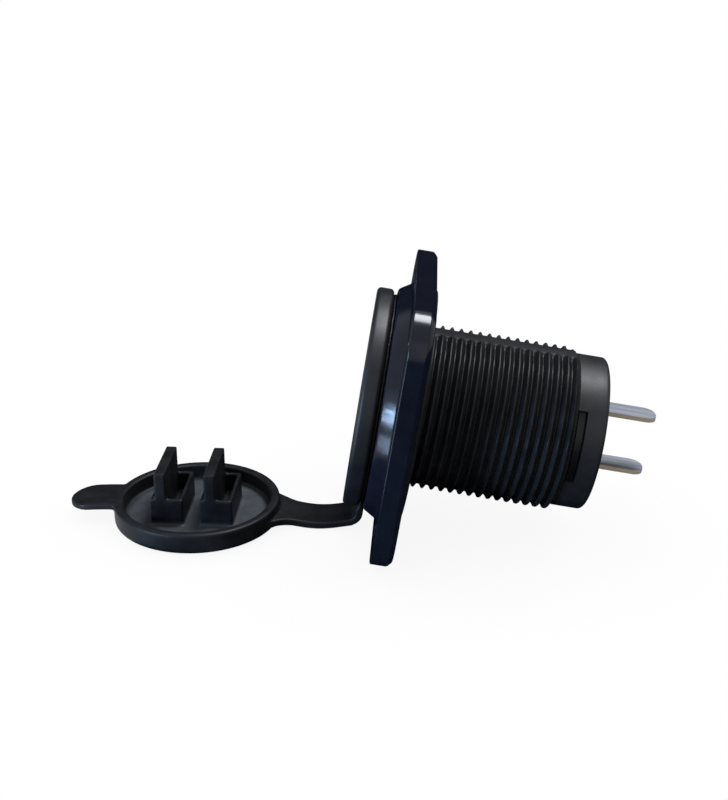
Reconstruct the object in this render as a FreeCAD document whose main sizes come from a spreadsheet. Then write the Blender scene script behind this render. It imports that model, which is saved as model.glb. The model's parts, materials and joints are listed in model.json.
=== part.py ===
import FreeCAD, Part
import os
import Sketcher

# Panel-mount dual USB charging socket with a tethered rubber cap, in millimetres.
# The barrel's axis is X with the front towards -X, +Z is up as installed, and X = 0
# is the plane where the gasket meets the vehicle's panel.

doc = FreeCAD.newDocument("dual_usb_socket")
sheet = doc.addObject("Spreadsheet::Sheet", "sizes")


class Length:
    """A size that carries both its number and the sheet expression it comes from."""

    def __init__(self, number, text):
        self.number = number
        self.text = text

    def joined(self, other, sign, number):
        return Length(number, "(%s %s %s)" % (self.text, sign, other.text))

    def __add__(self, other):
        other = as_length(other)
        return self.joined(other, "+", self.number + other.number)

    def __sub__(self, other):
        other = as_length(other)
        return self.joined(other, "-", self.number - other.number)

    def __mul__(self, other):
        other = as_length(other)
        return self.joined(other, "*", self.number * other.number)

    def __truediv__(self, other):
        other = as_length(other)
        return self.joined(other, "/", self.number / other.number)

    def __neg__(self):
        return Length(-self.number, "(0 - %s)" % self.text)


def as_length(value):
    return value if isinstance(value, Length) else Length(float(value), repr(float(value)))


def size(alias, number):
    """Writes one driving dimension to the next row of the sheet."""
    size.row += 1
    cell = "A%d" % size.row
    sheet.set(cell, str(number))
    sheet.setAlias(cell, alias)
    return Length(float(number), "sizes." + alias)


size.row = 0


def trig(name, angle):
    turn = FreeCAD.Rotation(FreeCAD.Vector(0, 0, 1), angle.number).multVec(FreeCAD.Vector(1, 0, 0))
    number = {"cos": turn.x, "sin": turn.y, "tan": turn.y / turn.x}[name]
    return Length(number, "%s(%s)" % (name, angle.text))


# Barrel and bezel
thread_d = size("thread_d", 28.5)
thread_len = size("thread_len", 25.6)
land_step = size("land_step", 0.25)
land_d = thread_d - land_step * 2
bezel_d = size("bezel_d", 38.2)
bezel_thick = size("bezel_thick", 3.0)
bezel_bevel = size("bezel_bevel", 0.6)
collar_step = size("collar_step", 0.9)
collar_d = thread_d - collar_step * 2
collar_len = size("collar_len", 5.1)
collar_bevel = size("collar_bevel", 0.7)
collar_wall = size("collar_wall", 1.35)
bore_d = collar_d - collar_wall * 2
slot_wide = size("slot_wide", 1.6)
slot_tall = size("slot_tall", 12.4)
rear_turn = size("rear_turn", 9.5)

# Mounting panel and gasket
plate_size = size("plate_size", 45.8)
plate_corner = size("plate_corner", 7.4)
plate_thick = size("plate_thick", 3.7)
plate_rear_bevel = size("plate_rear_bevel", 0.8)
boss_high = size("boss_high", 2.5)
boss_front_d = size("boss_front_d", 39.0)
boss_base_d = size("boss_base_d", 41.6)
boss_bevel = size("boss_bevel", 0.35)
screw_hole_d = size("screw_hole_d", 3.6)
screw_spacing = size("screw_spacing", 33.0)
gasket_d = size("gasket_d", 40.0)
gasket_thick = size("gasket_thick", 0.5)
panel_clearance = size("panel_clearance", 0.4)

# Tethered cap
ring_thick = size("ring_thick", 0.5)
ring_d = size("ring_d", 36.6)
ring_clearance = size("ring_clearance", 0.05)
strap_wide = size("strap_wide", 7.6)
strap_thick = size("strap_thick", 1.3)
strap_flare = size("strap_flare", 4.0)
flare_root = size("flare_root", 12.4)
flare_long = size("flare_long", 6.4)
bend_round = size("bend_round", 1.1)
bend_drop = size("bend_drop", 0.8)
cap_d = size("cap_d", 29.9)
cap_high = size("cap_high", 3.75)
cap_floor = size("cap_floor", 0.95)
cap_rim = size("cap_rim", 1.7)
cap_bevel = size("cap_bevel", 0.6)
tab_long = size("tab_long", 8.0)
tab_wide = size("tab_wide", 8.6)
tab_thick = size("tab_thick", 1.1)
cap_tilt = size("cap_tilt", 8.5)
hinge_below = size("hinge_below", 23.6)
hinge_ahead = size("hinge_ahead", 2.4)
hinge_level = size("hinge_level", 1.45)
hinge_reach = size("hinge_reach", 23.6)
hinge_gap = size("hinge_gap", 0.15)

# Plugs inside the cap
plug_thick = size("plug_thick", 5.8)
plug_wide = size("plug_wide", 12.0)
plug_high = size("plug_high", 5.0)
plug_wall = size("plug_wall", 0.8)
tall_high = size("tall_high", 9.9)
tall_thick = size("tall_thick", 2.0)
tall_inset = size("tall_inset", 0.8)

# Face and USB receptacles
face_d = size("face_d", 28.4)
face_step = size("face_step", 1.5)
face_clearance = size("face_clearance", 0.1)
port_pitch = size("port_pitch", 8.8)
mouth_wide = size("mouth_wide", 12.6)
mouth_tall = size("mouth_tall", 6.2)
mouth_deep = size("mouth_deep", 4.5)
shell_wide = size("shell_wide", 13.1)
shell_tall = size("shell_tall", 5.72)
shell_wall = size("shell_wall", 0.3)
shell_long = size("shell_long", 14.0)
tongue_wide = size("tongue_wide", 11.1)
tongue_thick = size("tongue_thick", 1.84)
tongue_gap = size("tongue_gap", 0.8)
tongue_recess = size("tongue_recess", 1.0)
insulator_long = size("insulator_long", 4.0)
contact_wide = size("contact_wide", 1.0)
contact_thick = size("contact_thick", 0.15)
contact_long = size("contact_long", 7.4)
contact_outer = size("contact_outer", 3.5)
contact_inner = size("contact_inner", 1.0)

# Electronics, rear cover and terminals
board_thick = size("board_thick", 1.6)
board_clearance = size("board_clearance", 0.2)
chip_side = size("chip_side", 5.0)
chip_thick = size("chip_thick", 1.5)
coil_d = size("coil_d", 7.0)
coil_high = size("coil_high", 5.0)
coil_edge = size("coil_edge", 0.6)
coil_out = bore_d / 2 - coil_d / 2 - coil_edge
capacitor_d = size("capacitor_d", 6.0)
capacitor_long = size("capacitor_long", 9.0)
capacitor_edge = size("capacitor_edge", 1.8)
capacitor_out = bore_d / 2 - capacitor_d / 2 - capacitor_edge
capacitor_apart = size("capacitor_apart", 7.0)
cover_thick = size("cover_thick", 1.8)
cover_recess = size("cover_recess", 0.6)
cover_clearance = size("cover_clearance", 0.1)
barb_wall = size("barb_wall", 1.4)
barb_recess = size("barb_recess", 0.7)
barb_gap = size("barb_gap", 0.25)
blade_wide = size("blade_wide", 4.8)
blade_thick = size("blade_thick", 0.8)
blade_out = size("blade_out", 10.0)
blade_apart = size("blade_apart", 10.0)
blade_round = size("blade_round", 2.0)
blade_clearance = size("blade_clearance", 0.1)
doc.recompute()

# Stations along the axis, from the bezel's front face to the rear face
ring_gap = ring_thick + ring_clearance * 2
front = -(bezel_thick + ring_gap + boss_high + plate_thick + gasket_thick)
bezel_back = front + bezel_thick
boss_front = bezel_back + ring_gap
plate_front = boss_front + boss_high
plate_back = plate_front + plate_thick
panel_plane = Length(0.0, "0")
collar_front = panel_plane + thread_len
rear = collar_front + collar_len
shell_front = front + mouth_deep
board_front = shell_front + shell_long
board_back = board_front + board_thick

X_AXIS = FreeCAD.Vector(1, 0, 0)
Y_AXIS = FreeCAD.Vector(0, 1, 0)
Z_AXIS = FreeCAD.Vector(0, 0, 1)
FLARE_STEPS = 4
nodes = []


def node(label, item):
    """Gives a finished sub-part its own name."""
    item.Label = label
    nodes.append(item)
    return item


def bind(item, prop, length):
    item.setExpression(prop, length.text)


def place(item, x=None, y=None, z=None):
    for axis, length in (("x", x), ("y", y), ("z", z)):
        if length is not None:
            bind(item, "Placement.Base." + axis, as_length(length))


def turned(item, axis, angle):
    """Turns an item about an axis through its own origin by an angle from the sheet."""
    item.Placement = FreeCAD.Placement(item.Placement.Base, FreeCAD.Rotation(axis, angle.number))
    bind(item, "Placement.Rotation.Angle", angle)


def box(name, x, y, z, long, wide, tall):
    """A box from x onwards, centred on y and z."""
    item = doc.addObject("Part::Box", name)
    bind(item, "Length", long)
    bind(item, "Width", wide)
    bind(item, "Height", tall)
    place(item, x, as_length(y) - wide / 2, as_length(z) - tall / 2)
    return item


def rod(name, x, y, z, diameter, long):
    """A cylinder along X."""
    item = doc.addObject("Part::Cylinder", name)
    bind(item, "Radius", diameter / 2)
    bind(item, "Height", long)
    item.Placement.Rotation = FreeCAD.Rotation(Y_AXIS, 90)
    place(item, x, y, z)
    return item


def cut(name, base, tool):
    item = doc.addObject("Part::Cut", name)
    item.Base = base
    item.Tool = tool
    return item


def fuse(name, items):
    item = doc.addObject("Part::MultiFuse", name)
    item.Shapes = items
    return item


def common(name, items):
    item = doc.addObject("Part::MultiCommon", name)
    item.Shapes = items
    return item


def origin_plane(body, role):
    return [feature for feature in body.Origin.OriginFeatures if feature.Role == role][0]


def sketch_on(body, name, role):
    sketch = body.newObject("Sketcher::SketchObject", name)
    sketch.AttachmentSupport = [(origin_plane(body, role), "")]
    sketch.MapMode = "FlatFace"
    return sketch


def pin_vertex(sketch, index, point):
    """Ties the start of one line to sizes measured from the sketch's origin."""
    for kind, length in (("DistanceX", point[0]), ("DistanceY", point[1])):
        length = as_length(length)
        row = sketch.addConstraint(Sketcher.Constraint(kind, -1, 1, index, 1, length.number))
        sketch.setExpression("Constraints[%d]" % row, length.text)


def polygon(sketch, points):
    """A closed outline of straight lines whose corners are all tied to the sheet."""
    corners = [FreeCAD.Vector(as_length(x).number, as_length(y).number, 0) for x, y in points]
    first = sketch.GeometryCount
    count = len(corners)
    for i in range(count):
        sketch.addGeometry(Part.LineSegment(corners[i], corners[(i + 1) % count]))
    for i in range(count):
        sketch.addConstraint(Sketcher.Constraint("Coincident", first + i, 2, first + (i + 1) % count, 1))
    for i in range(count):
        pin_vertex(sketch, first + i, points[i])


def rectangle(sketch, x, y, wide, tall):
    x, y = as_length(x), as_length(y)
    left, right = x - wide / 2, x + wide / 2
    low, high = y - tall / 2, y + tall / 2
    polygon(sketch, [(left, low), (right, low), (right, high), (left, high)])


def circle(sketch, x, y, diameter):
    x, y = as_length(x), as_length(y)
    row = sketch.addGeometry(Part.Circle(FreeCAD.Vector(x.number, y.number, 0), Z_AXIS, diameter.number / 2))
    for kind, length in (("DistanceX", x), ("DistanceY", y)):
        rule = sketch.addConstraint(Sketcher.Constraint(kind, -1, 1, row, 3, length.number))
        sketch.setExpression("Constraints[%d]" % rule, length.text)
    rule = sketch.addConstraint(Sketcher.Constraint("Diameter", row, diameter.number))
    sketch.setExpression("Constraints[%d]" % rule, diameter.text)


def new_body(name):
    return doc.addObject("PartDesign::Body", name)


def revolve(body, name, points, axis):
    """A solid of revolution from an outline in the body's XZ plane."""
    sketch = sketch_on(body, name + "_outline", "XZ_Plane")
    polygon(sketch, points)
    feature = body.newObject("PartDesign::Revolution", name)
    feature.Profile = sketch
    feature.ReferenceAxis = (sketch, [axis])
    feature.Angle = 360
    doc.recompute()
    return feature


def pad(body, name, role, points, long, offset=None, symmetric=False):
    """A prism on one of the body's planes, moved off that plane by an offset."""
    sketch = sketch_on(body, name + "_outline", role)
    polygon(sketch, points)
    if offset is not None:
        sketch.setExpression("AttachmentOffset.Base.z", offset.text)
    feature = body.newObject("PartDesign::Pad", name)
    feature.Profile = sketch
    bind(feature, "Length", long)
    if symmetric:
        feature.SideType = "Symmetric"
    doc.recompute()
    return feature


def pocket_through(body, name, sketch):
    """Cuts a sketch right through the body, both ways, and makes sure that it did cut."""
    before = body.Shape.Volume
    feature = body.newObject("PartDesign::Pocket", name)
    feature.Profile = sketch
    feature.Type = "ThroughAll"
    feature.SideType = "Symmetric"
    doc.recompute()
    if not body.Shape.Volume < before:
        raise RuntimeError(name + " cuts nothing")
    return feature


def dress_edges(body, name, kind, prop, length, wanted):
    """Rounds or bevels the edges of the body's tip that a test on each edge picks."""
    tip = body.Tip
    edges = ["Edge%d" % (i + 1) for i, edge in enumerate(tip.Shape.Edges) if wanted(edge)]
    if not edges:
        raise RuntimeError(name + " finds no edge")
    feature = body.newObject("PartDesign::" + kind, name)
    feature.Base = (tip, edges)
    bind(feature, prop, length)
    doc.recompute()
    return feature


def soften(body, name, radius, wanted):
    return dress_edges(body, name, "Fillet", "Radius", radius, wanted)


def bevel(body, name, side, wanted):
    return dress_edges(body, name, "Chamfer", "Size", side, wanted)


def is_parallel(edge, axis):
    if not isinstance(edge.Curve, Part.Line):
        return False
    return edge.Curve.Direction.cross(axis).Length < 1e-6


def make_housing():
    """Bezel flange, plain land, barrel and slotted rear collar, moulded in one piece."""
    body = new_body("housing")
    face_seat = face_d / 2 + face_clearance
    step = front + face_step
    bezel = bezel_d / 2
    collar = collar_d / 2
    revolve(body, "housing_turned", [
        (front, face_seat), (front, bezel - bezel_bevel), (front + bezel_bevel, bezel),
        (bezel_back - bezel_bevel, bezel), (bezel_back, bezel - bezel_bevel), (bezel_back, land_d / 2),
        (panel_plane, land_d / 2), (panel_plane, thread_d / 2), (collar_front, thread_d / 2),
        (collar_front, collar), (rear - collar_bevel, collar), (rear, collar - collar_bevel),
        (rear, bore_d / 2), (step, bore_d / 2), (step, face_seat)], "H_Axis")
    sketch = sketch_on(body, "slot_outline", "XZ_Plane")
    rectangle(sketch, collar_front + slot_wide / 2, 0, slot_wide, slot_tall)
    pocket_through(body, "snap_slots", sketch)
    turned(body, -X_AXIS, rear_turn)
    return node("socket_housing", body)


def make_face():
    """Face disc with a deep rectangular mouth for each port."""
    body = new_body("face")
    step = front + face_step
    revolve(body, "face_turned", [
        (front, 0), (front, face_d / 2), (step, face_d / 2), (step, bore_d / 2 - face_clearance),
        (shell_front, bore_d / 2 - face_clearance), (shell_front, 0)], "H_Axis")
    sketch = sketch_on(body, "mouth_outline", "YZ_Plane")
    for side in (1, -1):
        rectangle(sketch, 0, port_pitch / 2 * side, mouth_wide, mouth_tall)
    pocket_through(body, "port_mouths", sketch)
    return node("face_insert", body)


def make_receptacle(place_name, side):
    """Metal shell, insulator with its tongue, and the contact strips of one port."""
    middle = port_pitch / 2 * side
    inner_wide = shell_wide - shell_wall * 2
    inner_tall = shell_tall - shell_wall * 2
    outside = box("shell_outside_" + place_name, shell_front, 0, middle, shell_long, shell_wide, shell_tall)
    inside = box("shell_inside_" + place_name, shell_front, 0, middle, shell_long - shell_wall,
                 inner_wide, inner_tall)
    node("usb_shell_" + place_name, cut("shell_" + place_name, outside, inside))

    root = board_front - shell_wall - insulator_long
    tip = shell_front + tongue_recess
    tongue_z = middle - inner_tall / 2 + tongue_gap + tongue_thick / 2
    block = box("block_" + place_name, root, 0, middle, insulator_long, inner_wide, inner_tall)
    tongue = box("blade_" + place_name, tip, 0, tongue_z, root - tip, tongue_wide, tongue_thick)
    node("usb_tongue_" + place_name, fuse("tongue_" + place_name, [block, tongue]))

    strips = []
    strip_z = tongue_z + tongue_thick / 2 + contact_thick / 2
    for i, y in enumerate((-contact_outer, -contact_inner, contact_inner, contact_outer)):
        name = "strip_%s_%d" % (place_name, i + 1)
        strips.append(box(name, root - contact_long, y, strip_z, contact_long, contact_wide, contact_thick))
    group = doc.addObject("Part::Compound", "strips_" + place_name)
    group.Links = strips
    node("usb_contacts_" + place_name, group)


def make_electronics():
    """Round board behind the receptacles with the converter's main components."""
    board_d = bore_d - board_clearance * 2
    node("circuit_board", rod("board", board_front, 0, 0, board_d, board_thick))
    node("converter_chip", box("chip", board_back, 0, 0, chip_thick, chip_side, chip_side))
    node("inductor", rod("coil", board_back, coil_out, 0, coil_d, coil_high))
    for name, side in (("input", 1), ("output", -1)):
        z = capacitor_apart / 2 * side
        node(name + "_capacitor", rod(name + "_can", board_back, -capacitor_out, z, capacitor_d, capacitor_long))


def make_rear_cover():
    """Round cover with two snap tongues whose barbs sit in the collar's slots."""
    cover_d = bore_d - cover_clearance * 2
    barb_front = collar_front + barb_gap
    barb_long = slot_wide - barb_gap * 2
    disc_front = rear - cover_recess - cover_thick
    disc = rod("cover_disc", disc_front, 0, 0, cover_d, cover_thick)
    tongue_long = disc_front - barb_front
    sleeve = cut("cover_sleeve", rod("sleeve_outside", barb_front, 0, 0, cover_d, tongue_long),
                 rod("sleeve_inside", barb_front, 0, 0, cover_d - barb_wall * 2, tongue_long))
    barb_d = collar_d - barb_recess * 2
    barbs = cut("cover_barbs", rod("barb_outside", barb_front, 0, 0, barb_d, barb_long),
                rod("barb_inside", barb_front, 0, 0, cover_d - barb_wall * 2, barb_long))
    window = box("barb_window", barb_front, 0, 0, tongue_long, collar_d, slot_tall - barb_gap * 2)
    tongues = common("cover_tongues", [fuse("sleeve_and_barbs", [sleeve, barbs]), window])
    blade_gap = blade_thick + blade_clearance * 2
    slots = []
    for side in (1, -1):
        name = "blade_slot_upper" if side > 0 else "blade_slot_lower"
        slots.append(box(name, disc_front, 0, blade_apart / 2 * side, cover_thick,
                         blade_wide + blade_clearance * 2, blade_gap))
    whole = fuse("cover_whole", [disc, tongues])
    turned(whole, -X_AXIS, rear_turn)
    return node("rear_cover", cut("cover", whole, fuse("blade_slots", slots)))


def make_terminal(label, side):
    """Flat blade terminal from the board out through the rear cover, with a round tip."""
    body = new_body(label + "_body")
    tip = rear + blade_out
    half = blade_wide / 2
    pad(body, label + "_blade", "XY_Plane", [
        (board_back, -half), (tip, -half), (tip, half), (board_back, half)], blade_thick, symmetric=True)
    soften(body, label + "_tip", blade_round, lambda edge: is_parallel(edge, Z_AXIS) and all(
        abs(v.X - tip.number) < 1e-4 for v in edge.Vertexes))
    place(body, z=blade_apart / 2 * side)
    return node(label, body)


def make_panel():
    """Square mounting panel with round corners, a conical boss, a clear bore and screw holes."""
    body = new_body("panel")
    half = plate_size / 2
    pad(body, "plate", "YZ_Plane", [(-half, -half), (half, -half), (half, half), (-half, half)],
        plate_thick, offset=plate_front)
    soften(body, "plate_corners", plate_corner, lambda edge: is_parallel(edge, X_AXIS))
    bevel(body, "plate_rear_edge", plate_rear_bevel,
          lambda edge: all(abs(v.X - plate_back.number) < 1e-4 for v in edge.Vertexes))
    boss_tip = boss_front_d / 2
    revolve(body, "boss", [
        (boss_front, 0), (boss_front, boss_tip - boss_bevel), (boss_front + boss_bevel, boss_tip),
        (plate_front, boss_base_d / 2), (plate_back, boss_base_d / 2), (plate_back, 0)], "H_Axis")
    sketch = sketch_on(body, "bore_outline", "YZ_Plane")
    circle(sketch, 0, 0, thread_d + panel_clearance)
    for y in (screw_spacing / 2, -screw_spacing / 2):
        for z in (screw_spacing / 2, -screw_spacing / 2):
            circle(sketch, y, z, screw_hole_d)
    pocket_through(body, "bore_and_screw_holes", sketch)
    return node("mounting_panel", body)


def make_gasket():
    """Flat rubber ring between the mounting panel and the vehicle's panel."""
    body = new_body("gasket")
    inner = land_d / 2 + ring_clearance
    revolve(body, "gasket_turned", [
        (plate_back, inner), (plate_back, gasket_d / 2), (panel_plane, gasket_d / 2), (panel_plane, inner)],
        "H_Axis")
    return node("rear_gasket", body)


def make_cap_ring():
    """Ring held under the bezel, with the strap's bend that reaches forward to the hinge."""
    body = new_body("ring")
    ring_front = bezel_back + ring_clearance
    ring_back = ring_front + ring_thick
    inner = land_d / 2 + ring_clearance
    revolve(body, "ring_turned", [
        (ring_front, inner), (ring_front, ring_d / 2), (ring_back, ring_d / 2), (ring_back, inner)], "H_Axis")

    middle = (ring_front + ring_back) / 2
    bend_left = middle - strap_thick / 2
    bend_right = middle + strap_thick / 2
    shoulder = -(boss_front_d / 2 + bend_drop)
    root = -(ring_d / 2 - strap_thick)
    half_rise = strap_thick / 2 / trig("cos", cap_tilt)
    start = hinge_x + (strap_thick / 2 + hinge_gap)

    def level(x, side):
        return hinge_z + (x - hinge_x) * trig("tan", cap_tilt) + half_rise * side

    pad(body, "strap_bend", "XZ_Plane", [
        (start, level(start, -1)), (bend_right, level(bend_right, -1)), (bend_right, shoulder),
        (ring_back, shoulder), (ring_back, root), (ring_front, root), (ring_front, shoulder),
        (bend_left, shoulder), (bend_left, level(bend_left, 1)), (start, level(start, 1))],
        strap_wide, symmetric=True)

    def at_corner(edge, x):
        on_x = all(abs(v.X - x.number) < 1e-4 for v in edge.Vertexes)
        low = all(v.Z < shoulder.number - 0.1 for v in edge.Vertexes)
        return is_parallel(edge, Y_AXIS) and on_x and low

    soften(body, "bend_inside", bend_round, lambda edge: at_corner(edge, bend_left))
    soften(body, "bend_outside", bend_round + strap_thick, lambda edge: at_corner(edge, bend_right))
    return node("cap_ring", body)


def open_pose(item):
    """Lays an item made about the cap's outer centre into the open pose at the hinge."""
    turned(item, -Y_AXIS, cap_tilt)
    sine = trig("sin", cap_tilt)
    cosine = trig("cos", cap_tilt)
    place(item, x=hinge_x - hinge_reach * cosine + hinge_level * sine,
          z=hinge_z - hinge_reach * sine - hinge_level * cosine)


def make_cap():
    """Shallow round cap with a lift tab and the moving part of its strap."""
    body = new_body("cap_moulding")
    radius = cap_d / 2
    inner = radius - cap_rim
    revolve(body, "dish", [
        (0, 0), (radius - cap_bevel, 0), (radius, cap_bevel), (radius, cap_high), (inner, cap_high),
        (inner, cap_floor), (0, cap_floor)], "V_Axis")
    root = radius - cap_rim / 2
    half_tab = tab_wide / 2
    tab_tip = -(radius + tab_long)
    pad(body, "tab", "XY_Plane", [
        (-root, -half_tab), (-root, half_tab), (tab_tip, half_tab), (tab_tip, -half_tab)],
        tab_thick, offset=cap_high - tab_thick)
    soften(body, "tab_end", half_tab * 0.85, lambda edge: is_parallel(edge, Z_AXIS) and all(
        abs(v.X - tab_tip.number) < 1e-4 for v in edge.Vertexes))
    half = strap_wide / 2
    side_line = []
    for i in range(FLARE_STEPS + 1):
        along = i / FLARE_STEPS
        side_line.append((flare_root + flare_long * along, half + strap_flare * (1 - along) ** 2))
    side_line.append((hinge_reach, half))
    mirrored = [(x, -y) for x, y in side_line]
    inside_rim = [(root, half / 2), (root, -half / 2)]
    pad(body, "strap", "XY_Plane", mirrored + side_line[::-1] + inside_rim, strap_thick,
        offset=hinge_level - strap_thick / 2)
    sketch = sketch_on(body, "nose_outline", "XZ_Plane")
    circle(sketch, hinge_reach, hinge_level, strap_thick)
    nose = body.newObject("PartDesign::Pad", "strap_nose")
    nose.Profile = sketch
    bind(nose, "Length", strap_wide)
    nose.SideType = "Symmetric"
    doc.recompute()
    open_pose(body)
    return node("cap", body)


def make_plugs():
    """Two soft plugs, each a pocketed block with one tall wall that reaches into the port."""
    plugs = []
    for name, side in (("upper", -1), ("lower", 1)):
        middle = port_pitch / 2 * side
        left = middle - plug_thick / 2
        block = upright("plug_block_" + name, left, plug_thick, plug_wide, cap_floor, plug_high)
        tall_left = left + tall_inset
        tall = upright("plug_tall_" + name, tall_left, tall_thick, plug_wide, cap_floor, tall_high)
        pocket_left = tall_left + tall_thick
        pocket_long = plug_thick - tall_inset - tall_thick - plug_wall
        pocket = upright("plug_pocket_" + name, pocket_left, pocket_long, plug_wide - plug_wall * 2,
                         cap_floor + plug_wall, plug_high)
        plugs.append(cut("plug_" + name, fuse("plug_solid_" + name, [block, tall]), pocket))
    group = doc.addObject("Part::Compound", "plugs")
    group.Links = plugs
    open_pose(group)
    return node("cap_plugs", group)


def upright(name, x, long, wide, z, tall):
    """A box standing on a level z, centred across the strap's width."""
    return box(name, x, 0, z + tall / 2, long, wide, tall)


hinge_x = front - hinge_ahead
hinge_z = -hinge_below

make_housing()
make_face()
make_receptacle("upper", 1)
make_receptacle("lower", -1)
make_electronics()
make_rear_cover()
make_terminal("terminal_positive", 1)
make_terminal("terminal_negative", -1)
make_panel()
make_gasket()
make_cap_ring()
make_cap()
make_plugs()
doc.recompute()

for item in doc.Objects:
    if "Invalid" in item.State or "Error" in item.State:
        raise RuntimeError("%s did not build" % item.Name)
for item in nodes:
    if item.Shape.isNull() or not item.Shape.isValid():
        raise RuntimeError("%s has no valid shape" % item.Label)

os.makedirs("parts", exist_ok=True)
for item in nodes:
    item.Shape.exportStep(os.path.join("parts", item.Label + ".step"))
    print("%-22s %9.2f mm3" % (item.Label, item.Shape.Volume))
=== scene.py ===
import json
import math

import bmesh
import bpy
from mathutils import Matrix, Vector


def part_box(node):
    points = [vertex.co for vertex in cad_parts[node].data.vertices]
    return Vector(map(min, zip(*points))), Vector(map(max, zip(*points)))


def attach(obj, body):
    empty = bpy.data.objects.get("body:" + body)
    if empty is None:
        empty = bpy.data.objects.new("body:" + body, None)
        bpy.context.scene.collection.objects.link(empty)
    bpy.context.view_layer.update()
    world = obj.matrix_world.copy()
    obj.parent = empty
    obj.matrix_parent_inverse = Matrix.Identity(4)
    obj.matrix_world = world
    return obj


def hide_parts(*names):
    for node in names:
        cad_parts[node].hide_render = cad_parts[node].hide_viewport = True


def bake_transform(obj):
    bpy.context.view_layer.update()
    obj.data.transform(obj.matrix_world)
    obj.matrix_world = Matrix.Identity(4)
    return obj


# Dual USB panel socket with its rubber cap open, lying on a pale floor.
# Lengths are in millimetres until MM turns them into the frame's metres.

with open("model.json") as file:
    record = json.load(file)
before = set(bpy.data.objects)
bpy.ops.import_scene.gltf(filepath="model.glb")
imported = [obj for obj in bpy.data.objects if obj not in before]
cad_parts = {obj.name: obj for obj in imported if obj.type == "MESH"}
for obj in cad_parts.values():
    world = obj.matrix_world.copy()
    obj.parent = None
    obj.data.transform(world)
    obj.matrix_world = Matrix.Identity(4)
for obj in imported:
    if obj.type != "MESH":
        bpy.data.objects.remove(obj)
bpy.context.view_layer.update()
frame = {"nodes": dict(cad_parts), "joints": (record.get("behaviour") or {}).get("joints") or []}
nodes = frame["nodes"]
MM = 0.001

# Bezel and land of the housing, as in the frame
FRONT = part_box("socket_housing")[0].x / MM
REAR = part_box("socket_housing")[1].x / MM
BEZEL_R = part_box("socket_housing")[1].y / MM
BEZEL_THICK = 3.0
BEZEL_BACK = FRONT + BEZEL_THICK
BEZEL_ROUND = 0.75
FACE_SEAT_R = 14.3
FACE_STEP = 1.5
LAND_R = 14.0
BORE_R = 12.0
BOSS_R = 20.0
SOFT_EDGE = 0.25
ROUND_STEPS = 6

# Thread, with a smooth strip at the top and one at the bottom
THREAD_R = 14.25
THREAD_DEPTH = 1.0
THREAD_PITCH = 1.65
THREAD_START = 0.7
THREAD_END = 25.6
THREAD_SAMPLES = 20
ROOT_SHARE = 0.1
CREST_SHARE = 0.14
STRIP_R = 13.75
STRIP_HALF_DEG = 12.0
STRIP_TURN_DEG = 6.0
STRIP_EDGE_DEG = 3.0
ANGLE_STEP_DEG = 3.0

# Collar with a snap slot on each side
COLLAR_R = 13.35
COLLAR_ROUND = 0.7
SLOT_WIDE = 1.6
SLOT_HALF_DEG = 27.7
REAR_TURN_DEG = 9.5

# Dish and tab of the rubber moulding
HINGE = Vector(frame["joints"][0]["pos_m"]) / MM
CAP_TILT = math.radians(8.5)
HINGE_REACH = 23.6
HINGE_LEVEL = 1.45
CAP_R = 14.95
CAP_HIGH = 3.75
CAP_FLOOR = 0.95
CAP_RIM = 1.7
DISH_ROUND = 0.7
DISH_STEPS = 120
RIM_ROUND = 0.35
RIM_INNER_ROUND = 0.3
TAB_LONG = 8.0
TAB_WIDE = 8.6
TAB_THICK = 1.1
TAB_END_SHARE = 0.95
TAB_STEPS = 16
TAB_DROOP = 0.6
DROOP_POWER = 1.5

# Strap and ring of the rubber moulding
STRAP_WIDE = 7.6
STRAP_THICK = 1.3
STRAP_SHORT = 2.0
STRAP_FLARE = 4.0
FLARE_ROOT = 12.4
FLARE_LONG = 6.4
FLARE_STEPS = 12
STRAP_SAG = 1.0
SAG_BEYOND = 6.0
SAG_POWER = 1.4
BEND_LEAD = 2.6
BEND_R = 1.75
BEND_STEPS = 8
NECK_HALF = 0.3
RING_THICK = 0.5
RING_CLEAR = 0.05
RING_R = 18.3
RING_OVERLAP = 1.0
RING_STEPS = 96

# Plugs of the rubber moulding, and its skin
PORT_PITCH = 8.8
PLUG_THICK = 5.8
PLUG_WIDE = 12.0
PLUG_HIGH = 5.0
PLUG_WALL = 0.8
PLUG_ROOT = 0.4
POCKET_FLOOR = 1.2
TALL_HIGH = 9.9
TALL_THICK = 2.0
TALL_INSET = 0.8
RUBBER_VOXEL = 0.22
SMOOTHING = 0.5
SMOOTH_ROUNDS = 5
DUST_FADE = 1.5
DUST_ABOVE = 0.1
DUST_RISE = 0.8

# Plate's edges, and the angles from which an edge is shaded sharp
PANEL_WELD = 0.002
PANEL_FLAT_DEG = 1.0
PANEL_ROUND = 0.3
PANEL_ROUND_STEPS = 3
PANEL_EDGE_DEG = 25.0
HOUSING_SHARP_DEG = 35.0
NODE_SHARP_DEG = 32.0

# Surfaces: noise scales are in cycles per metre
NOISE_LOW = 0.3
NOISE_HIGH = 0.7
MOTTLE_SCALE = 260.0
GRAIN_DEPTH = 0.06
BLOOM_SCALE = 420.0
BLOOM_LEAST = 0.65
DRAWN_SCALE = 900.0
DRAWN_DEPTH = 0.03
DRAWN_STRENGTH = 0.15
DRAWN_SMOOTHEST = 0.8
DRAWN_ROUGHEST = 1.3
HOUSING_SHEEN = 0.2
# Dimmer gloss of the thread's flanks: painted shade for the shadow in the grooves
THREAD_SHADE_SHEEN = 0.1
EDGE_FACING = 0.7


# Materials

def new_material(name, color, roughness, metallic=0.0):
    """A principled material; returns it with its tree and shader node."""
    material = bpy.data.materials.new(name)
    material.use_nodes = True
    tree = material.node_tree
    shader = tree.nodes["Principled BSDF"]
    shader.inputs["Base Color"].default_value = (*color, 1.0)
    shader.inputs["Roughness"].default_value = roughness
    shader.inputs["Metallic"].default_value = metallic
    return material, tree, shader


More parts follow.
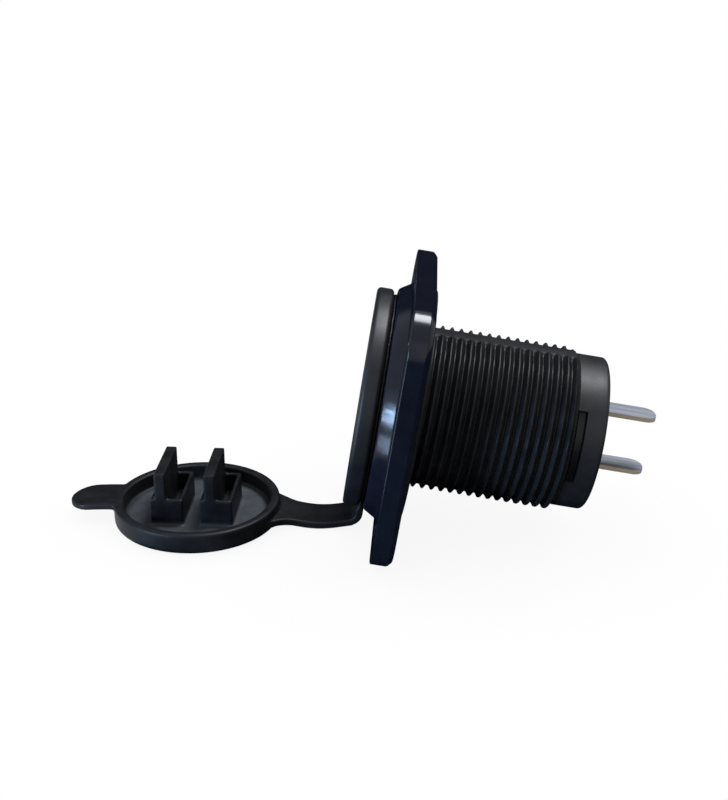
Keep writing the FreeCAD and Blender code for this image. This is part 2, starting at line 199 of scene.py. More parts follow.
def object_noise(tree, scale, detail=3.0, roughness=0.55):
    """Noise in the object's own coordinates."""
    place = tree.nodes.new("ShaderNodeTexCoord")
    noise = tree.nodes.new("ShaderNodeTexNoise")
    noise.inputs["Scale"].default_value = scale
    noise.inputs["Detail"].default_value = detail
    noise.inputs["Roughness"].default_value = roughness
    tree.links.new(place.outputs["Object"], noise.inputs["Vector"])
    return noise


def spread(tree, source, low, high):
    """Maps the middle span of a noise onto a range."""
    node = tree.nodes.new("ShaderNodeMapRange")
    node.inputs["From Min"].default_value = NOISE_LOW
    node.inputs["From Max"].default_value = NOISE_HIGH
    node.inputs["To Min"].default_value = low
    node.inputs["To Max"].default_value = high
    tree.links.new(source, node.inputs["Value"])
    return node.outputs["Result"]


def tint(tree, source, dark, light):
    """Turns the middle span of a noise into a colour between two."""
    ramp = tree.nodes.new("ShaderNodeValToRGB")
    ramp.color_ramp.elements[0].position = NOISE_LOW
    ramp.color_ramp.elements[0].color = (*dark, 1.0)
    ramp.color_ramp.elements[1].position = NOISE_HIGH
    ramp.color_ramp.elements[1].color = (*light, 1.0)
    tree.links.new(source, ramp.inputs["Fac"])
    return ramp.outputs["Color"]


def bump(tree, shader, source, strength, distance):
    """Raises the surface by a source, with its height in millimetres."""
    node = tree.nodes.new("ShaderNodeBump")
    node.inputs["Strength"].default_value = strength
    node.inputs["Distance"].default_value = distance * MM
    tree.links.new(source, node.inputs["Height"])
    tree.links.new(node.outputs["Normal"], shader.inputs["Normal"])


def overlay(tree, factor, color):
    """Lays a colour over the base colour that the shader has so far."""
    shader = tree.nodes["Principled BSDF"]
    mix = tree.nodes.new("ShaderNodeMix")
    mix.data_type = "RGBA"
    tree.links.new(factor, mix.inputs["Factor"])
    tree.links.new(shader.inputs["Base Color"].links[0].from_socket, mix.inputs["A"])
    mix.inputs["B"].default_value = (*color, 1.0)
    tree.links.new(mix.outputs["Result"], shader.inputs["Base Color"])


def moulded(name, dark, light, rough, grain, strength, sheen=0.25):
    """Moulded plastic or rubber: mottled colour, uneven gloss and a fine surface grain."""
    smoothest, roughest = rough
    material, tree, shader = new_material(name, dark, smoothest)
    shader.inputs["Specular IOR Level"].default_value = sheen
    cloud = object_noise(tree, MOTTLE_SCALE).outputs["Fac"]
    fine = object_noise(tree, grain, detail=2.0).outputs["Fac"]
    tree.links.new(tint(tree, cloud, dark, light), shader.inputs["Base Color"])
    tree.links.new(spread(tree, cloud, smoothest, roughest), shader.inputs["Roughness"])
    bump(tree, shader, fine, strength, GRAIN_DEPTH)
    return material


def brushed(name, dark, light, roughness, stretch, metallic=1.0):
    """Plated sheet metal with faint drawing lines along one axis."""
    material, tree, shader = new_material(name, light, roughness, metallic=metallic)
    place = tree.nodes.new("ShaderNodeTexCoord")
    scale = tree.nodes.new("ShaderNodeMapping")
    scale.inputs["Scale"].default_value = stretch
    noise = tree.nodes.new("ShaderNodeTexNoise")
    noise.inputs["Scale"].default_value = DRAWN_SCALE
    tree.links.new(place.outputs["Object"], scale.inputs["Vector"])
    tree.links.new(scale.outputs["Vector"], noise.inputs["Vector"])
    lines = noise.outputs["Fac"]
    uneven = spread(tree, lines, roughness * DRAWN_SMOOTHEST, roughness * DRAWN_ROUGHEST)
    tree.links.new(tint(tree, lines, dark, light), shader.inputs["Base Color"])
    tree.links.new(uneven, shader.inputs["Roughness"])
    bump(tree, shader, lines, DRAWN_STRENGTH, DRAWN_DEPTH)
    return material


def dusty(material, color):
    """Adds a pale bloom where the mesh's dust attribute is set."""
    tree = material.node_tree
    mask = tree.nodes.new("ShaderNodeAttribute")
    mask.attribute_name = "dust"
    cloud = object_noise(tree, BLOOM_SCALE, detail=4.0).outputs["Fac"]
    share = tree.nodes.new("ShaderNodeMath")
    share.operation = "MULTIPLY"
    tree.links.new(mask.outputs["Fac"], share.inputs[0])
    tree.links.new(spread(tree, cloud, BLOOM_LEAST, 1.0), share.inputs[1])
    overlay(tree, share.outputs["Value"], color)


def shade_thread_gloss(material, sheen, shaded_sheen):
    """Dims the gloss over the thread's flanks, where the mesh's attribute marks them: painted shade
    that stands in for the shadow in the grooves.
    """
    tree = material.node_tree
    shader = tree.nodes["Principled BSDF"]
    mask = tree.nodes.new("ShaderNodeAttribute")
    mask.attribute_name = "thread_shade"
    gloss = tree.nodes.new("ShaderNodeMapRange")
    gloss.inputs["To Min"].default_value = sheen
    gloss.inputs["To Max"].default_value = shaded_sheen
    tree.links.new(mask.outputs["Fac"], gloss.inputs["Value"])
    tree.links.new(gloss.outputs["Result"], shader.inputs["Specular IOR Level"])


def paint_edge_reflection(material, color):
    """Lays a painted warm reflection on the edges that face along Y."""
    tree = material.node_tree
    geometry = tree.nodes.new("ShaderNodeNewGeometry")
    parts = tree.nodes.new("ShaderNodeSeparateXYZ")
    tree.links.new(geometry.outputs["True Normal"], parts.inputs["Vector"])
    size = tree.nodes.new("ShaderNodeMath")
    size.operation = "ABSOLUTE"
    tree.links.new(parts.outputs["Y"], size.inputs[0])
    edge = tree.nodes.new("ShaderNodeMath")
    edge.operation = "GREATER_THAN"
    edge.inputs[1].default_value = EDGE_FACING
    tree.links.new(size.outputs["Value"], edge.inputs[0])
    overlay(tree, edge.outputs["Value"], color)


housing_plastic = moulded(
    "housing_plastic", dark=(0.004, 0.0042, 0.005), light=(0.007, 0.0073, 0.0086),
    rough=(0.42, 0.5), grain=5200.0, strength=0.3, sheen=HOUSING_SHEEN)
# Painted shade: the thread's flanks get a dimmer gloss that stands in for the shadow in the grooves
shade_thread_gloss(housing_plastic, HOUSING_SHEEN, THREAD_SHADE_SHEEN)
face_plastic = moulded(
    "face_plastic", dark=(0.004, 0.004, 0.0045), light=(0.007, 0.007, 0.008),
    rough=(0.4, 0.5), grain=5200.0, strength=0.3, sheen=0.2)
cover_plastic = moulded(
    "cover_plastic", dark=(0.002, 0.0024, 0.004), light=(0.0034, 0.004, 0.0066),
    rough=(0.36, 0.46), grain=5200.0, strength=0.3, sheen=0.18)
panel_gloss = moulded(
    "panel_gloss", dark=(0.0032, 0.0038, 0.0068), light=(0.0042, 0.005, 0.009),
    rough=(0.13, 0.19), grain=900.0, strength=0.03, sheen=0.18)
cap_rubber = moulded(
    "cap_rubber", dark=(0.0026, 0.0028, 0.0034), light=(0.005, 0.0054, 0.0066),
    rough=(0.42, 0.55), grain=3800.0, strength=0.22, sheen=0.13)
dusty(cap_rubber, (0.042, 0.046, 0.053))
gasket_rubber = moulded(
    "gasket_rubber", dark=(0.004, 0.004, 0.0045), light=(0.007, 0.007, 0.0075),
    rough=(0.6, 0.72), grain=3000.0, strength=0.3, sheen=0.15)
insulator = moulded(
    "insulator", dark=(0.72, 0.72, 0.7), light=(0.82, 0.82, 0.8),
    rough=(0.4, 0.5), grain=3000.0, strength=0.15)
board_green = moulded(
    "board_green", dark=(0.02, 0.12, 0.05), light=(0.03, 0.16, 0.07),
    rough=(0.3, 0.42), grain=2500.0, strength=0.1)
component_black = moulded(
    "component_black", dark=(0.015, 0.015, 0.016), light=(0.028, 0.028, 0.03),
    rough=(0.4, 0.55), grain=4000.0, strength=0.2)
shell_metal = brushed(
    "shell_metal", dark=(0.5, 0.5, 0.48), light=(0.66, 0.66, 0.64),
    roughness=0.26, stretch=(0.1, 1.0, 1.0))
blade_metal = brushed(
    "blade_metal", dark=(0.27, 0.285, 0.32), light=(0.31, 0.325, 0.36),
    roughness=0.34, stretch=(0.06, 1.0, 1.0), metallic=0.5)
# Painted warm reflection on the blades' edges that face along Y
paint_edge_reflection(blade_metal, (0.42, 0.34, 0.24))
contact_gold = brushed(
    "contact_gold", dark=(0.7, 0.5, 0.2), light=(0.86, 0.66, 0.3),
    roughness=0.25, stretch=(0.1, 1.0, 1.0))
can_metal = brushed(
    "can_metal", dark=(0.6, 0.6, 0.61), light=(0.74, 0.74, 0.76),
    roughness=0.3, stretch=(0.2, 1.0, 1.0))

NODE_MATERIALS = {
    "mounting_panel": panel_gloss,
    "rear_gasket": gasket_rubber,
    "face_insert": face_plastic,
    "rear_cover": cover_plastic,
    "terminal_positive": blade_metal,
    "terminal_negative": blade_metal,
    "usb_shell_upper": shell_metal,
    "usb_shell_lower": shell_metal,
    "usb_tongue_upper": insulator,
    "usb_tongue_lower": insulator,
    "usb_contacts_upper": contact_gold,
    "usb_contacts_lower": contact_gold,
    "circuit_board": board_green,
    "converter_chip": component_black,
    "inductor": component_black,
    "input_capacitor": can_metal,
    "output_capacitor": can_metal,
}


# Mesh helpers

def new_piece(name, mesh_builder, material):
    """Turns a bmesh in millimetres into an object in metres."""
    mesh_builder.transform(Matrix.Scale(MM, 4))
    mesh = bpy.data.meshes.new(name)
    mesh_builder.to_mesh(mesh)
    mesh_builder.free()
    mesh.materials.append(material)
    piece = bpy.data.objects.new(name, mesh)
    bpy.context.scene.collection.objects.link(piece)
    return piece


def shade_smooth(mesh):
    """Shades every face of a mesh smooth."""
    for face in mesh.polygons:
        face.use_smooth = True


def arc(cx, cy, radius, start, end, steps):
    """Points of an arc in a profile plane, angles in degrees."""
    points = []
    for i in range(steps + 1):
        a = math.radians(start + (end - start) * i / steps)
        points.append((cx + radius * math.cos(a), cy + radius * math.sin(a)))
    return points


def smooth_step(value):
    """Eases from 0 to 1, and stays there on either side."""
    value = min(max(value, 0.0), 1.0)
    return value * value * (3.0 - 2.0 * value)


# Housing: bezel, land, threaded barrel with two smooth strips, slotted collar

def around(angle, x, radius):
    """A point at an angle from the side facing the photographer, turning upwards."""
    return (x, -radius * math.cos(angle), radius * math.sin(angle))


def off_strip(angle_deg):
    """Angle from the middle of the nearer smooth strip, in degrees."""
    return abs((angle_deg - STRIP_TURN_DEG) % 180.0 - 90.0)


def thread_radius(angle_deg, x):
    """Radius of the barrel's surface: a V thread with narrow crests, cut by two smooth strips."""
    root = THREAD_R - THREAD_DEPTH
    phase = ((x - THREAD_START) / THREAD_PITCH - angle_deg / 360.0) % 1.0
    rise = 1.0 - abs(phase * 2.0 - 1.0)
    tooth = min(max((rise - ROOT_SHARE) / (1.0 - ROOT_SHARE - CREST_SHARE), 0.0), 1.0)
    run_in_and_out = smooth_step(x) * smooth_step(THREAD_END - x)
    radius = root + THREAD_DEPTH * tooth * run_in_and_out
    into_strip = smooth_step((STRIP_HALF_DEG - off_strip(angle_deg)) / STRIP_EDGE_DEG + 0.5)
    return radius + (STRIP_R - radius) * into_strip * run_in_and_out


def angle_lines():
    """Angles round the barrel, with extra lines at the edges of the strips and slots."""
    angles = {i * ANGLE_STEP_DEG for i in range(round(360.0 / ANGLE_STEP_DEG))}
    for middle in (90.0 + STRIP_TURN_DEG, 270.0 + STRIP_TURN_DEG):
        for side in (-1, 1):
            edge = middle + side * STRIP_HALF_DEG
            angles |= {edge - STRIP_EDGE_DEG / 2, edge, edge + STRIP_EDGE_DEG / 2}
    for middle in (REAR_TURN_DEG, 180.0 + REAR_TURN_DEG):
        for side in (-1, 1):
            angles.add(middle + side * SLOT_HALF_DEG)
    return sorted({a % 360.0 for a in angles})


def in_slot(angle_deg):
    """Whether an angle lies within one of the collar's two slots."""
    from_side = (angle_deg - REAR_TURN_DEG + 90.0) % 180.0 - 90.0
    return abs(from_side) < SLOT_HALF_DEG


def housing_profile():
    """Stations and radii from the face seat over the bezel and the land to the thread."""
    turn_r = BEZEL_R - BEZEL_ROUND
    points = [(FRONT + FACE_STEP, BORE_R), (FRONT + FACE_STEP, FACE_SEAT_R)]
    points += [(FRONT + SOFT_EDGE, FACE_SEAT_R), (FRONT, FACE_SEAT_R + SOFT_EDGE)]
    points += [(FRONT, (FACE_SEAT_R + BEZEL_R) / 2)]
    points += arc(FRONT + BEZEL_ROUND, turn_r, BEZEL_ROUND, 180, 90, ROUND_STEPS)
    points += [(FRONT + BEZEL_THICK / 2, BEZEL_R)]
    points += arc(BEZEL_BACK - BEZEL_ROUND, turn_r, BEZEL_ROUND, 90, 0, ROUND_STEPS)
    points += [(BEZEL_BACK, LAND_R), (-SOFT_EDGE, LAND_R), (0.0, THREAD_R - THREAD_DEPTH)]
    return points


def collar_profile():
    """Stations and radii from the thread's end over the slotted collar and back along the bore."""
    slot_end = THREAD_END + SLOT_WIDE
    turn_r = COLLAR_R - COLLAR_ROUND
    points = [(THREAD_END, COLLAR_R), (slot_end, COLLAR_R), (REAR - 2 * COLLAR_ROUND, COLLAR_R)]
    points += arc(REAR - COLLAR_ROUND, turn_r, COLLAR_ROUND, 90, 0, ROUND_STEPS)
    points += [(REAR, BORE_R + SOFT_EDGE), (REAR - SOFT_EDGE, BORE_R)]
    points += [(slot_end, BORE_R), (THREAD_END, BORE_R)]
    return points


def mark_thread_shade(mesh):
    """Marks the thread's flanks, whose gloss is dimmed below that of the smooth strips and the
    collar: painted shade for the shadow in the grooves.
    """
    thread_shade = mesh.attributes.new("thread_shade", "FLOAT", "POINT")
    for vert in mesh.vertices:
        x = vert.co.x / MM
        angle_deg = math.degrees(math.atan2(vert.co.z, -vert.co.y))
        if 0.0 < x < THREAD_END and off_strip(angle_deg) > STRIP_HALF_DEG:
            thread_shade.data[vert.index].value = 1.0


def make_housing():
    """One closed skin: rows of points round the axis, left open at the slots and walled there."""
    steps = int(THREAD_END / THREAD_PITCH * THREAD_SAMPLES)
    thread = [(THREAD_END * i / steps, None) for i in range(1, steps)]
    stations = housing_profile() + thread + collar_profile()
    angles = angle_lines()
    build = bmesh.new()
    rows = []
    for x, radius in stations:
        row = []
        for angle in angles:
            r = thread_radius(angle, x) if radius is None else radius
            row.append(build.verts.new(around(math.radians(angle), x, r)))
        rows.append(row)
    slot_row = len(housing_profile()) + len(thread)
    bore_row = len(rows) - 2
    slot_front, slot_rear = rows[slot_row], rows[slot_row + 1]
    bore_rear, bore_front = rows[bore_row], rows[bore_row + 1]
    count = len(angles)
    open_here = []
    for j in range(count):
        step = (angles[(j + 1) % count] - angles[j]) % 360.0
        open_here.append(in_slot(angles[j] + step / 2))
    for i in range(len(rows)):
        following = rows[(i + 1) % len(rows)]
        for j in range(count):
            k = (j + 1) % count
            if i in (slot_row, bore_row) and open_here[j]:
                continue
            build.faces.new((rows[i][j], rows[i][k], following[k], following[j]))
    for j in range(count):
        k = (j + 1) % count
        if open_here[j]:
            build.faces.new((slot_front[j], slot_front[k], bore_front[k], bore_front[j]))
            build.faces.new((slot_rear[j], slot_rear[k], bore_rear[k], bore_rear[j]))
        if open_here[j] != open_here[j - 1]:
            build.faces.new((slot_front[j], slot_rear[j], bore_rear[j], bore_front[j]))
    bmesh.ops.recalc_face_normals(build, faces=build.faces)
    piece = new_piece("housing_moulding", build, housing_plastic)
    mark_thread_shade(piece.data)
    shade_smooth(piece.data)
    piece.data.set_sharp_from_angle(angle=math.radians(HOUSING_SHARP_DEG))
    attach(piece, "socket")
    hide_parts("socket_housing")


# Rubber moulding: ring, strap, dish, tab and plugs

def cap_point(u, v, w):
    """From the cap's own axes, at its outer centre, to the frame in the open pose."""
    cosine, sine = math.cos(CAP_TILT), math.sin(CAP_TILT)
    x0 = HINGE.x - HINGE_REACH * cosine + HINGE_LEVEL * sine
    z0 = HINGE.z - HINGE_REACH * sine - HINGE_LEVEL * cosine
    return Vector((x0 + u * cosine - w * sine, v, z0 + u * sine + w * cosine))


def add_dish(build):
    """The cap's dish, turned about its axis from a profile of radius and height."""
    inner = CAP_R - CAP_RIM
    profile = [(0.0, 0.0)]
    profile += arc(CAP_R - DISH_ROUND, DISH_ROUND, DISH_ROUND, -90, 0, 5)
    profile += arc(CAP_R - RIM_ROUND, CAP_HIGH - RIM_ROUND, RIM_ROUND, 0, 90, 4)
    profile += arc(inner + RIM_INNER_ROUND, CAP_HIGH - RIM_INNER_ROUND, RIM_INNER_ROUND, 90, 180, 4)
    profile += [(inner, CAP_FLOOR + RIM_INNER_ROUND), (inner - RIM_INNER_ROUND, CAP_FLOOR)]
    profile += [(0.0, CAP_FLOOR)]
    rows = []
    for radius, height in profile:
        if radius == 0.0:
            rows.append([build.verts.new(cap_point(0.0, 0.0, height))])
            continue
        row = []
        for i in range(DISH_STEPS):
            a = 2 * math.pi * i / DISH_STEPS
            row.append(build.verts.new(cap_point(radius * math.cos(a), radius * math.sin(a), height)))
        rows.append(row)
    for low, high in zip(rows, rows[1:]):
        for i in range(DISH_STEPS):
            k = (i + 1) % DISH_STEPS
            quad = [low[i % len(low)], low[k % len(low)], high[k % len(high)], high[i % len(high)]]
            corners = list(dict.fromkeys(quad))
            build.faces.new(corners)


def add_prism(build, outline, low, high):
    """A prism on the cap, from an outline of (u, v) points between two levels."""
    bottom = [build.verts.new(cap_point(u, v, low)) for u, v in outline]
    top = [build.verts.new(cap_point(u, v, high)) for u, v in outline]
    build.faces.new(bottom[::-1])
    build.faces.new(top)
    count = len(outline)
    for i in range(count):
        k = (i + 1) % count
        build.faces.new((bottom[i], bottom[k], top[k], top[i]))


def block_outline(u0, u1, v0, v1):
    """Plan of a block between two lines each way."""
    return [(u0, v0), (u1, v0), (u1, v1), (u0, v1)]


def strap_outline():
    """Plan of the moving strap: a concave flare from the rim into a parallel strap."""
    half = STRAP_WIDE / 2
    upper = []
    for i in range(FLARE_STEPS + 1):
        along = i / FLARE_STEPS
        upper.append((FLARE_ROOT + FLARE_LONG * along, half + STRAP_FLARE * (1 - along) ** 2))
    upper.append((HINGE_REACH - STRAP_SHORT, half))
    lower = [(u, -v) for u, v in upper]
    root = CAP_R - CAP_RIM / 2
    return lower + upper[::-1] + [(root, half / 2), (root, -half / 2)]


def tab_outline():
    """Plan of the lift tab: parallel sides from within the rim, and a rounded end."""
    half = TAB_WIDE / 2
    end_long = half * TAB_END_SHARE
    end_from = end_long - (CAP_R + TAB_LONG)
    root = CAP_R - CAP_RIM / 2
    outline = [(-root, half)]
    for i in range(TAB_STEPS + 1):
        a = math.pi * i / TAB_STEPS
        outline.append((end_from - end_long * math.sin(a), half * math.cos(a)))
    return outline + [(-root, -half)]


def add_plug(build, middle):
    """One soft plug: four walls round a pocket, the one on the tab's side tall."""
    left = middle - PLUG_THICK / 2
    right = middle + PLUG_THICK / 2
    half = PLUG_WIDE / 2
    tall_left = left + TALL_INSET
    tall_right = tall_left + TALL_THICK
    top = CAP_FLOOR + PLUG_HIGH
    low = CAP_FLOOR - PLUG_ROOT
    add_prism(build, block_outline(left, tall_right, -half, half), low, top)
    add_prism(build, block_outline(tall_left, tall_right, -half, half), low, CAP_FLOOR + TALL_HIGH)
    add_prism(build, block_outline(right - PLUG_WALL, right, -half, half), low, top)
    for side in (-1, 1):
        edges = sorted((side * half, side * (half - PLUG_WALL)))
        add_prism(build, block_outline(tall_left, right, *edges), low, top)
    add_prism(build, block_outline(left, right, -half, half), low, CAP_FLOOR + POCKET_FLOOR)


def bend_path():
    """Middle line of the strap from the cap's end, round the bend and up to the ring, in X and Z."""
    ring_x = BEZEL_BACK + RING_CLEAR + RING_THICK / 2
    direction = Vector((math.cos(CAP_TILT), math.sin(CAP_TILT)))
    start = Vector((HINGE.x, HINGE.z)) - direction * BEND_LEAD
    corner_z = HINGE.z + (ring_x - HINGE.x) * math.tan(CAP_TILT)
    turn = math.pi / 2 - CAP_TILT
    back = BEND_R * math.tan(turn / 2)
    first = Vector((ring_x, corner_z)) - direction * back
    centre = Vector((ring_x - BEND_R, corner_z + back))
    points = [start, start + direction * BEND_LEAD / 2, (start + first) / 2]
    for i in range(BEND_STEPS + 1):
        a = -math.pi / 2 + CAP_TILT + turn * i / BEND_STEPS
        points.append(centre + Vector((math.cos(a), math.sin(a))) * BEND_R)
    for z in (-BOSS_R - NECK_HALF, -BOSS_R + NECK_HALF, RING_OVERLAP - RING_R):
        points.append(Vector((ring_x, z)))
    return points


def add_swept_strap(build):
    """The strap's bend as a flat band that thins where it enters the gap behind the bezel."""
    path = bend_path()
    half = STRAP_WIDE / 2
    rows = []
    for i, point in enumerate(path):
        ahead = path[min(i + 1, len(path) - 1)]
        behind = path[max(i - 1, 0)]
        along = (ahead - behind).normalized()
        across = Vector((-along.y, along.x))
        thick = STRAP_THICK if point.y < -BOSS_R else RING_THICK
        row = []
        for side, v in ((-1, -half), (1, -half), (1, half), (-1, half)):
            spot = point + across * side * thick / 2
            row.append(build.verts.new((spot.x, v, spot.y)))
        rows.append(row)
    build.faces.new(rows[0][::-1])
    build.faces.new(rows[-1])
    for low, high in zip(rows, rows[1:]):
        for i in range(4):
            k = (i + 1) % 4
            build.faces.new((low[i], low[k], high[k], high[i]))


def add_ring(build):
    """Closed ring in the gap behind the bezel."""
    low = BEZEL_BACK + RING_CLEAR
    high = low + RING_THICK
    inner, outer = LAND_R + RING_CLEAR, RING_R
    loops = []
    for x, radius in ((low, inner), (low, outer), (high, outer), (high, inner)):
        loop = []
        for i in range(RING_STEPS):
            loop.append(build.verts.new(around(2 * math.pi * i / RING_STEPS, x, radius)))
        loops.append(loop)
    for n in range(4):
        here, there = loops[n], loops[(n + 1) % 4]
        for i in range(RING_STEPS):
            k = (i + 1) % RING_STEPS
            build.faces.new((here[i], here[k], there[k], there[i]))


def join_skin(piece):
    """Joins the solids of a piece into one softened skin, and returns its mesh."""
    remesh = piece.modifiers.new("skin", "REMESH")
    remesh.mode = "VOXEL"
    remesh.voxel_size = RUBBER_VOXEL * MM
    soften = piece.modifiers.new("soften", "SMOOTH")
    soften.factor = SMOOTHING
    soften.iterations = SMOOTH_ROUNDS
    graph = bpy.context.evaluated_depsgraph_get()
    skin = bpy.data.meshes.new_from_object(piece.evaluated_get(graph))
    piece.modifiers.clear()
    piece.data = skin
    return skin


def mark_dust(mesh):
    """Marks the dish's floor, which has a paler bloom than the rest of the rubber."""
    centre = cap_point(0, 0, 0)
    along = cap_point(1, 0, 0) - centre
    upwards = cap_point(0, 0, 1) - centre
    dust = mesh.attributes.new("dust", "FLOAT", "POINT")
    for vert in mesh.vertices:
        offset = vert.co / MM - centre
        out = math.hypot(offset.dot(along), offset.y)
        level = offset.dot(upwards)
        inside = smooth_step((CAP_R - CAP_RIM - out) / DUST_FADE)
        low = 1.0 - smooth_step((level - CAP_FLOOR - DUST_ABOVE) / DUST_RISE)
        dust.data[vert.index].value = inside * low if level > CAP_FLOOR / 2 else 0.0


def sag_strap(mesh):
    """Lets the strap hang a little between the cap's rim and the ring, and the tab droop."""
    rim = HINGE.x - (HINGE_REACH - CAP_R)
    tab_root = HINGE.x - HINGE_REACH - CAP_R
    for vert in mesh.vertices:
        x, z = vert.co.x / MM, vert.co.z / MM
        along = (x - rim) / (HINGE.x + SAG_BEYOND - rim)
        if 0.0 < along < 1.0 and z < -BOSS_R:
            vert.co.z -= STRAP_SAG * MM * math.sin(math.pi * along) ** SAG_POWER
        if x < tab_root:
            vert.co.z -= TAB_DROOP * MM * ((tab_root - x) / TAB_LONG) ** DROOP_POWER


def make_rubber():
    """The whole rubber moulding, made level with the cap so that its flat faces come out clean."""
    build = bmesh.new()
    add_dish(build)
    add_prism(build, strap_outline(), HINGE_LEVEL - STRAP_THICK / 2, HINGE_LEVEL + STRAP_THICK / 2)
    add_prism(build, tab_outline(), CAP_HIGH - TAB_THICK, CAP_HIGH)
    for middle in (-PORT_PITCH / 2, PORT_PITCH / 2):
        add_plug(build, middle)
    add_swept_strap(build)
    add_ring(build)
    bmesh.ops.recalc_face_normals(build, faces=build.faces)
    level = Matrix.Rotation(CAP_TILT, 4, "Y")
    build.transform(level)
    piece = new_piece("cap_moulding", build, cap_rubber)
    skin = join_skin(piece)
    skin.transform(level.inverted())
    mark_dust(skin)
    sag_strap(skin)
    shade_smooth(skin)
    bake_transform(piece)
    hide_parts("cap_ring", "cap", "cap_plugs")


# CAD nodes that show as they are

def round_panel_edges(panel):
    """Rounds the plate's edges a little, with the shading of its flat faces kept flat."""
    join_faces = panel.modifiers.new("join_faces", "WELD")
    join_faces.merge_threshold = PANEL_WELD * MM
    whole_faces = panel.modifiers.new("whole_faces", "DECIMATE")
    whole_faces.decimate_type = "DISSOLVE"
    whole_faces.angle_limit = math.radians(PANEL_FLAT_DEG)
    edge_round = panel.modifiers.new("edge_round", "BEVEL")
    edge_round.width = PANEL_ROUND * MM
    edge_round.segments = PANEL_ROUND_STEPS
    edge_round.limit_method = "ANGLE"
    edge_round.angle_limit = math.radians(PANEL_EDGE_DEG)
    flat_faces = panel.modifiers.new("flat_faces", "WEIGHTED_NORMAL")
    flat_faces.mode = "FACE_AREA"
    flat_faces.weight = 100


def dress_nodes():
    """Gives each CAD node its material and its smooth shading."""
    for name, material in NODE_MATERIALS.items():
        mesh = nodes[name].data
        mesh.materials.clear()
        mesh.materials.append(material)
        shade_smooth(mesh)
        mesh.set_sharp_from_angle(angle=math.radians(NODE_SHARP_DEG))


make_housing()
make_rubber()
round_panel_edges(nodes["mounting_panel"])
dress_nodes()


# Camera, from the photograph's view of the barrel's axis

IMAGE_HIGH_PX = 800
FOCAL_PX = 1300.0
SENSOR_HIGH = 36.0
CLIP_NEAR = 5.0
ELEVATION = math.radians(22.53)
AXIS_TILT = math.radians(8.8)
AXIS_TURN = math.radians(3.2)
CAMERA_AWAY = 226.4
CAMERA_ACROSS = 0.72
CAMERA_UP = -0.86

# The photograph's own axes: X to the right, Y away and Z up, from the bezel's centre
lying = Matrix.Rotation(-AXIS_TURN, 3, "Z") @ Matrix.Rotation(AXIS_TILT, 3, "Y")
to_frame = lying.transposed()
bezel_centre = Vector((FRONT, 0, 0))


def in_frame(place):
    """From the photograph's own axes to the frame, in millimetres."""
    return bezel_centre + to_frame @ Vector(place)


def make_camera():
    """A camera that looks down on the barrel's axis as the photograph does."""
    right = Vector((1, 0, 0))
    up = Vector((0, math.sin(ELEVATION), math.cos(ELEVATION)))
    ahead = Vector((0, math.cos(ELEVATION), -math.sin(ELEVATION)))
    data = bpy.data.cameras.new("camera")
    data.sensor_fit = "VERTICAL"
    data.sensor_height = SENSOR_HIGH
    data.lens = SENSOR_HIGH * FOCAL_PX / IMAGE_HIGH_PX
    data.clip_start = CLIP_NEAR * MM
    camera = bpy.data.objects.new("camera", data)
    bpy.context.scene.collection.objects.link(camera)
    axes = Matrix((right, up, -ahead)).transposed()
    camera.matrix_world = (to_frame @ axes).to_4x4()
    camera.location = in_frame(right * CAMERA_ACROSS + up * CAMERA_UP - ahead * CAMERA_AWAY) * MM
    bpy.context.scene.camera = camera


# Floor under the plate and the cap, surroundings and lights

FLOOR_BELOW = 24.75
FLOOR_HALF = 900.0
FLOOR_COLOR = (0.9, 0.9, 0.9)
FLOOR_SHADE = 0.1
FLOOR_SHADE_REACH = 30.0
MATT_ROUGHNESS = 0.9
CARD_AWAY = 300.0
CARD_HALF = 400.0
CARD_HIGH = 330.0
CARD_LEFT = 40.0
CARD_LIFT = 0.5
CARD_LOW = CARD_LIFT - FLOOR_BELOW
CARD_COLOR = (0.004, 0.005, 0.008)
WORLD_LIGHT = 0.5
WORLD_COLOR = (0.9, 0.93, 1.0, 1.0)
WHITE = (1.0, 1.0, 1.0, 1.0)


def background_rays(tree):
    """Is 1 for the rays that show the background: those of the camera, of gloss and through glass."""
    rays = tree.nodes.new("ShaderNodeLightPath")
    either = tree.nodes.new("ShaderNodeMath")
    either.operation = "MAXIMUM"
    tree.links.new(rays.outputs["Is Camera Ray"], either.inputs[0])
    tree.links.new(rays.outputs["Is Glossy Ray"], either.inputs[1])
    both = tree.nodes.new("ShaderNodeMath")
    both.operation = "MAXIMUM"
    tree.links.new(either.outputs["Value"], both.inputs[0])
    tree.links.new(rays.outputs["Is Transmission Ray"], both.inputs[1])
    return both.outputs["Value"]


def choose_by_rays(tree, plain, background):
    """A shader that is the second one for background rays and the first one for the others."""
    choose = tree.nodes.new("ShaderNodeMixShader")
    tree.links.new(background_rays(tree), choose.inputs["Fac"])
    tree.links.new(plain, choose.inputs[1])
    tree.links.new(background, choose.inputs[2])
    return choose.outputs["Shader"]


def matt_material(name, color):
    """A material without gloss; returns it with its tree and shader node."""
    material, tree, shader = new_material(name, color, MATT_ROUGHNESS)
    shader.inputs["Specular IOR Level"].default_value = 0.0
    return material, tree, shader


def stage_face(name, corners, material):
    """One face of the stage between corners in the photograph's own axes, which casts no shadow."""
    build = bmesh.new()
    build.faces.new([build.verts.new(in_frame(corner)) for corner in corners])
    piece = new_piece(name, build, material)
    piece.visible_shadow = False
    return piece


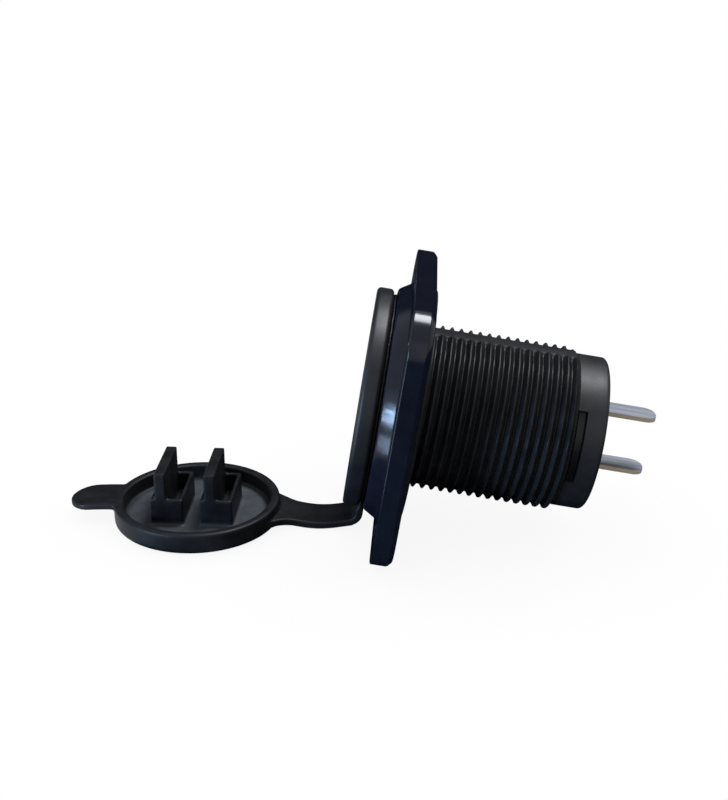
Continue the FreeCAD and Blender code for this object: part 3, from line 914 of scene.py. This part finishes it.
def make_floor():
    """Floor that shows the white world through the object's soft shadow.

    Nothing hides behind it, so that the cap still shows where it swings below the floor.
    """
    half, low = FLOOR_HALF, -FLOOR_BELOW
    corners = ((-half, -half, low), (half, -half, low), (half, half, low), (-half, half, low))
    material, tree, shader = matt_material("floor_white", FLOOR_COLOR)
    shade = tree.nodes.new("ShaderNodeAmbientOcclusion")
    shade.inputs["Distance"].default_value = FLOOR_SHADE_REACH * MM
    pale = tree.nodes.new("ShaderNodeMapRange")
    pale.inputs["To Min"].default_value = 1.0 - FLOOR_SHADE
    tree.links.new(shade.outputs["AO"], pale.inputs["Value"])
    clear = tree.nodes.new("ShaderNodeBsdfTransparent")
    tree.links.new(pale.outputs["Result"], clear.inputs["Color"])
    surface = choose_by_rays(tree, shader.outputs["BSDF"], clear.outputs["BSDF"])
    tree.links.new(surface, tree.nodes["Material Output"].inputs["Surface"])
    stage_face("floor", corners, material)


def make_dark_card(name, corners):
    """A black card, seen only in reflections: a painted dark reflection that stands in for the dark
    room round the object.
    """
    card = stage_face(name, corners, matt_material(name + "_black", CARD_COLOR)[0])
    card.visible_camera = False
    card.visible_diffuse = False


def make_world():
    """A plain soft light that the background rays see as white."""
    world = bpy.data.worlds.new("studio")
    world.use_nodes = True
    tree = world.node_tree
    light = tree.nodes["Background"]
    light.inputs["Color"].default_value = WORLD_COLOR
    light.inputs["Strength"].default_value = WORLD_LIGHT
    white = tree.nodes.new("ShaderNodeBackground")
    white.inputs["Color"].default_value = WHITE
    surface = choose_by_rays(tree, light.outputs["Background"], white.outputs["Background"])
    tree.links.new(surface, tree.nodes["World Output"].inputs["Surface"])
    bpy.context.scene.world = world


def add_light(name, place, target, size, power, color):
    """A square soft light, placed and aimed in the photograph's own axes."""
    data = bpy.data.lights.new(name, "AREA")
    data.size = size * MM
    data.energy = power
    data.color = color
    lamp = bpy.data.objects.new(name, data)
    bpy.context.scene.collection.objects.link(lamp)
    aim = in_frame(target) - in_frame(place)
    lamp.rotation_euler = aim.to_track_quat("-Z", "Y").to_euler()
    lamp.location = in_frame(place) * MM


make_camera()
make_floor()
make_world()
make_dark_card("back_card", (
    (-CARD_HALF, CARD_AWAY, CARD_LOW), (CARD_HALF, CARD_AWAY, CARD_LOW),
    (CARD_HALF, CARD_AWAY, CARD_HIGH), (-CARD_HALF, CARD_AWAY, CARD_HIGH)))
make_dark_card("floor_card", (
    (-CARD_LEFT, -CARD_HALF, CARD_LOW), (CARD_HALF, -CARD_HALF, CARD_LOW),
    (CARD_HALF, CARD_AWAY, CARD_LOW), (-CARD_LEFT, CARD_AWAY, CARD_LOW)))
add_light("key_top", place=(120, 100, 400), target=(15, 0, 0),
          size=160, power=3.1, color=(0.93, 0.96, 1.0))
add_light("front_warm", place=(160, -420, 160), target=(20, 0, 0),
          size=300, power=0.2, color=(1.0, 0.93, 0.84))
add_light("window_left", place=(-330, -225, 60), target=(0, 0, 0),
          size=84, power=2.4, color=(0.45, 0.68, 1.0))
add_light("table_glint", place=(-246, -154, -76), target=(0, 0, 0),
          size=60, power=0.22, color=(0.5, 0.7, 1.0))
bpy.context.scene.view_settings.view_transform = "Standard"
